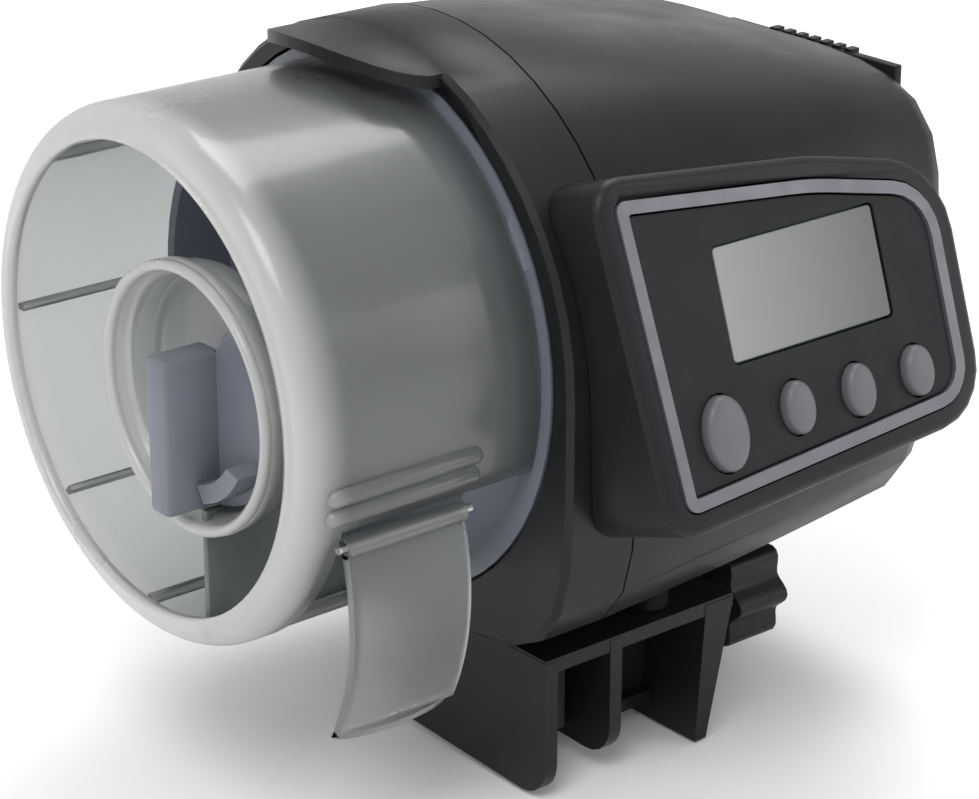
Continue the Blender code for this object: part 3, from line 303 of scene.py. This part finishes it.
clear = finish("clear_styrene", (0.76, 0.77, 0.75), 0.30, Transmission_Weight=0.78, IOR=1.40,
               Coat_Weight=0.35, Coat_Roughness=0.12)
mottle(clear, "Roughness", 0.26, 0.36, 45, 4.0)
# Painted light: the drum's front face is painted lighter and less clear than the wall behind it,
# fading back along X over a few millimetres; the plastic is the same all through.
FACE_PAINTED_LIGHT = (drum_low.x + 0.5 * MM, drum_low.x + 7.0 * MM)
shade_across(clear, "Base Color", (0.80, 0.81, 0.79), (0.50, 0.52, 0.515), *FACE_PAINTED_LIGHT)
shade_across(clear, "Transmission Weight", 0.58, 0.90, *FACE_PAINTED_LIGHT)


def polyline(work, points):
    """Edges through points, as a profile to spin."""
    corners = [work.verts.new(point) for point in points]
    return [work.edges.new(pair) for pair in zip(corners, corners[1:])]


def spin(work, edges, sweep, steps):
    """Turns edges about local Z and gives back the last copy."""
    corners = list({v for e in edges for v in e.verts})
    turned = bmesh.ops.spin(work, geom=edges + corners, cent=(0, 0, 0), axis=(0, 0, 1),
                            angle=sweep, steps=steps, use_duplicate=False)
    return [item for item in turned["geom_last"] if isinstance(item, bmesh.types.BMEdge)]


def wall_thickness(made, thickness, offset=-1.0):
    wall = made.modifiers.new("wall", "SOLIDIFY")
    wall.thickness = thickness
    wall.offset = offset
    wall.use_even_offset = True


work = bmesh.new()
profile = [(DRUM_RADIUS, DRUM_REAR)]
profile += [(DRUM_RADIUS, WINDOW_FRONT * share) for share in (0.25, 0.5, 0.75, 1.0)]
for turn in range(0, 91, 10):
    profile.append((DRUM_RADIUS - DRUM_EDGE + DRUM_EDGE * math.cos(math.radians(turn)),
                    DRUM_FRONT - DRUM_EDGE + DRUM_EDGE * math.sin(math.radians(turn))))
FLAT_MARGIN = 0.6 * MM
profile.append((DRUM_RADIUS - DRUM_EDGE - FLAT_MARGIN, DRUM_FRONT))
start = [(radius * math.cos(WINDOW_FROM), radius * math.sin(WINDOW_FROM), height)
         for radius, height in profile]
across_window = spin(work, polyline(work, start), WINDOW_SWEEP, WINDOW_STEPS)
spin(work, across_window, -(2 * math.pi + WINDOW_SWEEP), REST_STEPS)
TOUCHING = 0.01 * MM
bmesh.ops.remove_doubles(work, verts=work.verts, dist=TOUCHING)


def in_window(face):
    middle = face.calc_center_median()
    past = (WINDOW_FROM - math.atan2(middle.y, middle.x)) % (2 * math.pi)
    return middle.z < WINDOW_FRONT and past < -WINDOW_SWEEP


bmesh.ops.delete(work, geom=[face for face in work.faces if in_window(face)], context="FACES")
well = Vector((WELL_AXIS.z - DRUM_AXIS.z, WELL_AXIS.y - DRUM_AXIS.y, DRUM_FRONT))
WELL_FLOOR = -6.5
WELL_PROFILE = ((18.6, 0.0), (17.9, 0.0), (17.65, -0.06), (17.3, -0.4), (17.2, -1.0), (17.1, -2.4),
                (16.7, -2.9), (16.3, -3.3), (16.2, -4.0), (16.2, -5.8), (16.0, -6.3),
                (15.5, WELL_FLOOR), (14.8, WELL_FLOOR), (9.0, WELL_FLOOR), (4.0, WELL_FLOOR),
                (3.4, WELL_FLOOR))
# The rim takes in the support loop beside it, so the bridge from it to the well's mouth makes
# nothing, and the drum's face is still open between the two.
rim = [edge for edge in work.edges if all(v.co.z > DRUM_FRONT - TOUCHING for v in edge.verts)]
mouth = bmesh.ops.create_circle(work, cap_ends=False, segments=WINDOW_STEPS + REST_STEPS,
                                radius=WELL_PROFILE[0][0] * MM, matrix=Matrix.Translation(well))
ring = list({edge for corner in mouth["verts"] for edge in corner.link_edges})
bmesh.ops.bridge_loops(work, edges=rim + ring)
for (before, _), (radius, depth) in zip(WELL_PROFILE, WELL_PROFILE[1:]):
    grown = bmesh.ops.extrude_edge_only(work, edges=ring)
    ring = [item for item in grown["geom"] if isinstance(item, bmesh.types.BMEdge)]
    corners = [item for item in grown["geom"] if isinstance(item, bmesh.types.BMVert)]
    ring = [edge for edge in ring if all(v in set(corners) for v in edge.verts)]
    for corner in corners:
        away = (corner.co - well) * (radius / before)
        corner.co = Vector((well.x + away.x, well.y + away.y, well.z + depth * MM))
bmesh.ops.recalc_face_normals(work, faces=work.faces)
bmesh.ops.transform(work, matrix=FORWARD, verts=work.verts)
cup = show("drum_cup", smoothed(work, "drum_cup", 40), "drum", clear,
           ("food_drum",))
wall_thickness(cup, DRUM_WALL)

# Ribs stiffen the wall inside, and two rounded bars above the window keep the hinge
# stiff. They and the baffle of the metering chamber are moulded in one with the drum.
RIB_ANGLES = (20.5, 45, 90, 135, 180, 225, 262)
RIB_SIZE = (1.6 * MM, 1.0 * MM)
BAFFLE = (-12.0 * MM, 1.2 * MM)
SPIGOT_END = 10.2 * MM
work = bmesh.new()


def block(target, low, high, turn=0.0):
    """A block in the drum's frame, turned about the drum's axis."""
    size = Vector(high) - Vector(low)
    place = Matrix.Rotation(turn, 4, "Z") @ Matrix.Translation((Vector(low) + Vector(high)) / 2)
    made = bmesh.ops.create_cube(target, size=1.0, matrix=place @ Matrix.Diagonal((*size, 1)))
    edges = list({edge for corner in made["verts"] for edge in corner.link_edges})
    bmesh.ops.bevel(target, geom=edges, offset=min(size) * 0.22, segments=2, affect="EDGES",
                    profile=0.5, material=-1)


inner = DRUM_RADIUS - DRUM_WALL
RIB_SETBACK = 3.4 * MM
WALL_GAP = 0.02 * MM
for angle in RIB_ANGLES:
    block(work, (inner - RIB_SIZE[0], -RIB_SIZE[1] / 2, SPIGOT_END),
          (inner - WALL_GAP, RIB_SIZE[1] / 2, DRUM_FRONT - RIB_SETBACK), math.radians(angle - 90))
BAR_RADIUS = 1.25 * MM
BAR_SIDES = 16
BAR_ANGLES = (-13.6, -9.0)
BAR_PAST_WINDOW = 3.2 * MM
BAR_ROUNDING = 1.0 * MM
LEVEL = 0.001 * MM
for angle in BAR_ANGLES:
    turn = math.radians(angle - 90)
    length = WINDOW_FRONT + BAR_PAST_WINDOW - SPIGOT_END
    place = Matrix.Translation((DRUM_RADIUS * math.cos(turn), DRUM_RADIUS * math.sin(turn),
                                SPIGOT_END + length / 2))
    bar = bmesh.ops.create_cone(work, cap_ends=True, segments=BAR_SIDES, radius1=BAR_RADIUS,
                                radius2=BAR_RADIUS, depth=length, matrix=place)
    ends = [edge for edge in {e for v in bar["verts"] for e in v.link_edges}
            if abs(edge.verts[0].co.z - edge.verts[1].co.z) < LEVEL]
    bmesh.ops.bevel(work, geom=ends, offset=BAR_ROUNDING, segments=4, affect="EDGES",
                    profile=0.5, material=-1)
bmesh.ops.recalc_face_normals(work, faces=work.faces)
bmesh.ops.transform(work, matrix=FORWARD, verts=work.verts)
show("drum_ribs", smoothed(work, "drum_ribs", 40), "drum", clear)

# The baffle is seen edge on, where the clear plastic looks much darker.
# Painted shade: the baffle is the same clear styrene, given a darker and less clear copy of its
# finish for that edge-on look.
baffle_painted_dark = finish("baffle_painted_shade", (0.16, 0.18, 0.18), 0.3, Transmission_Weight=0.35, IOR=1.40)
mottle(baffle_painted_dark, "Roughness", 0.26, 0.36, 45, 4.0)
work = bmesh.new()
drop = math.sqrt(inner ** 2 - (BAFFLE[0] - BAFFLE[1]) ** 2)
BAFFLE_REAR = 12.0 * MM
BAFFLE_TOP = 15.5 * MM
FACE_GAP = 0.1 * MM
block(work, (-drop, BAFFLE[0] - BAFFLE[1] / 2, BAFFLE_REAR),
      (well.x - BAFFLE_TOP, BAFFLE[0] + BAFFLE[1] / 2, DRUM_FRONT - DRUM_WALL - FACE_GAP))
bmesh.ops.recalc_face_normals(work, faces=work.faces)
bmesh.ops.transform(work, matrix=FORWARD, verts=work.verts)
show("drum_baffle", smoothed(work, "drum_baffle", 40), "drum", baffle_painted_dark)

# ---- Outlet door -----------------------------------------------------------
# A curved clear flap with a knuckle round a steel pin and a lip along its free edge.
# The lip's edge bulges, so that a fingernail can catch it.
door_low, door_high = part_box("drum_door")
hinge = Vector((HINGE_AXIS.z - DRUM_AXIS.z, HINGE_AXIS.y - DRUM_AXIS.y))
DOOR_SPAN = (DRUM_AXIS.x - door_high.x, DRUM_AXIS.x - door_low.x)
DOOR_RADIUS = 37.4 * MM
DOOR_FROM = math.radians(-22.4 - 90)
DOOR_SWEEP = math.radians(-43.7)
DOOR_STEPS = 24
DOOR_WALL = 1.3 * MM
DOOR_OPEN = math.radians(38)
LIP_REACH = 2.0 * MM
KNUCKLE = (0.95 * MM, 1.5 * MM)
hang = (FORWARD @ Matrix.Translation((*hinge, 0)) @ Matrix.Rotation(DOOR_OPEN, 4, "Z")
        @ Matrix.Translation((*-hinge, 0)))
work = bmesh.new()
SPAN_STEPS = 12
door_length = DOOR_SPAN[1] - DOOR_SPAN[0]
span = [DOOR_SPAN[0] + door_length * i / SPAN_STEPS for i in range(SPAN_STEPS + 1)]
hinge_side = Vector((DOOR_RADIUS * math.cos(DOOR_FROM), DOOR_RADIUS * math.sin(DOOR_FROM)))
edge_line = polyline(work, [(*hinge_side, z) for z in span])
free_edge = spin(work, edge_line, DOOR_SWEEP, DOOR_STEPS)
LIP_STEPS = 3
for _ in range(LIP_STEPS):
    grown = bmesh.ops.extrude_edge_only(work, edges=free_edge)
    corners = {item for item in grown["geom"] if isinstance(item, bmesh.types.BMVert)}
    free_edge = [item for item in grown["geom"] if isinstance(item, bmesh.types.BMEdge)
                 and all(v in corners for v in item.verts)]
    for corner in corners:
        share = (corner.co.z - DOOR_SPAN[0]) / door_length
        bulge = 0.25 + 0.75 * math.sin(math.pi * share) ** 0.6
        out = Vector((corner.co.x, corner.co.y, 0)).normalized()
        corner.co += out * LIP_REACH * bulge / LIP_STEPS
bmesh.ops.recalc_face_normals(work, faces=work.faces)
bmesh.ops.transform(work, matrix=hang, verts=work.verts)
flap = show("outlet_door", smoothed(work, "outlet_door", 50), "door", clear,
            ("drum_door",))
wall_thickness(flap, DOOR_WALL)
soften = flap.modifiers.new("rounding", "BEVEL")
soften.width = 0.3 * MM
soften.segments = 2
soften.limit_method = "ANGLE"
soften.angle_limit = math.radians(50)

work = bmesh.new()
tube = [(KNUCKLE[0], DOOR_SPAN[0]), (KNUCKLE[1], DOOR_SPAN[0]), (KNUCKLE[1], DOOR_SPAN[1]),
        (KNUCKLE[0], DOOR_SPAN[1]), (KNUCKLE[0], DOOR_SPAN[0])]
spin(work, polyline(work, [(radius, 0, z) for radius, z in tube]), 2 * math.pi, 32)
bmesh.ops.remove_doubles(work, verts=work.verts, dist=0.001 * MM)
bmesh.ops.recalc_face_normals(work, faces=work.faces)
bmesh.ops.transform(work, matrix=FORWARD @ Matrix.Translation((*hinge, 0)), verts=work.verts)
show("door_knuckle", smoothed(work, "door_knuckle", 40), "door", clear)
fair_copy("door_pin", "drum", plain_steel)

# ---- Portion dial ----------------------------------------------------------
# A lavender-grey dial with a thick finger fin. Its stub passes through the well's floor,
# where a steel clip holds it.
fair_copy("portion_dial", "dial", lavender, 0.25 * MM)
fair_copy("dial_clip", "dial", plain_steel)

# ---- Control panel ---------------------------------------------------------
# A deep black bezel carries a silver-lavender trim line, a matt dark overlay and a grey
# display window. The board, the display module and the switches are behind them.
fair_copy("panel_bezel", "housing", satin_black)
silver_trim = finish("silver_trim", (0.13, 0.13, 0.15), 0.35, Metallic=0.35)
mottle(silver_trim, "Roughness", 0.30, 0.42, 300)
fair_copy("panel_trim", "housing", silver_trim, 0.2 * MM)
overlay = finish("overlay", (0.012, 0.013, 0.014), 0.5, Specular_IOR_Level=0.2)
mottle(overlay, "Roughness", 0.46, 0.56, 200)
grain(overlay, 7000, 0.00001)
fair_copy("panel_plate", "housing", overlay)
# Painted reflection: the display window's grey fades from light to dark along X across the lens,
# standing in for a reflection on its face.
window_grey_painted_reflection = finish("window_grey_painted_reflection", (0.13, 0.135, 0.135), 0.16)
shade_across(window_grey_painted_reflection, "Base Color", (0.20, 0.205, 0.205), (0.045, 0.048, 0.048),
             *(corner.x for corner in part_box("screen_lens")))
fair_copy("screen_lens", "housing", window_grey_painted_reflection, 0.15 * MM)
button_grey = finish("button_grey", (0.105, 0.105, 0.117), 0.42)
mottle(button_grey, "Base Color", (0.10, 0.10, 0.112), (0.11, 0.11, 0.123), 90)
solder_green = finish("solder_green", (0.02, 0.13, 0.05), 0.45)
mottle(solder_green, "Base Color", (0.015, 0.11, 0.04), (0.03, 0.15, 0.06), 250)
for board in ("screen_module", "circuit_board"):
    fair_copy(board, "housing", solder_green)
for button in ("feed", "mode", "adjust", "set"):
    fair_copy(button + "_switch", "housing", satin_black)
    fair_copy(button + "_button", button, button_grey, sharp=60)

# ---- Rim clamp -------------------------------------------------------------
# A black bracket under the housing: its deep plate lies against the glass and a screw
# with a lobed knob pushes a rubber pad from the other side.
fair_copy("rim_clamp", "housing", satin_black, 0.25 * MM)
rubber = finish("rubber", (0.03, 0.03, 0.03), 0.8)
mottle(rubber, "Roughness", 0.72, 0.88, 200)
grain(rubber, 2500, 0.00003)
fair_copy("clamp_pad", "pad", rubber)
fair_copy("clamp_screw", "knob", plain_steel)
fair_copy("clamp_knob", "knob", satin_black, 0.3 * MM)
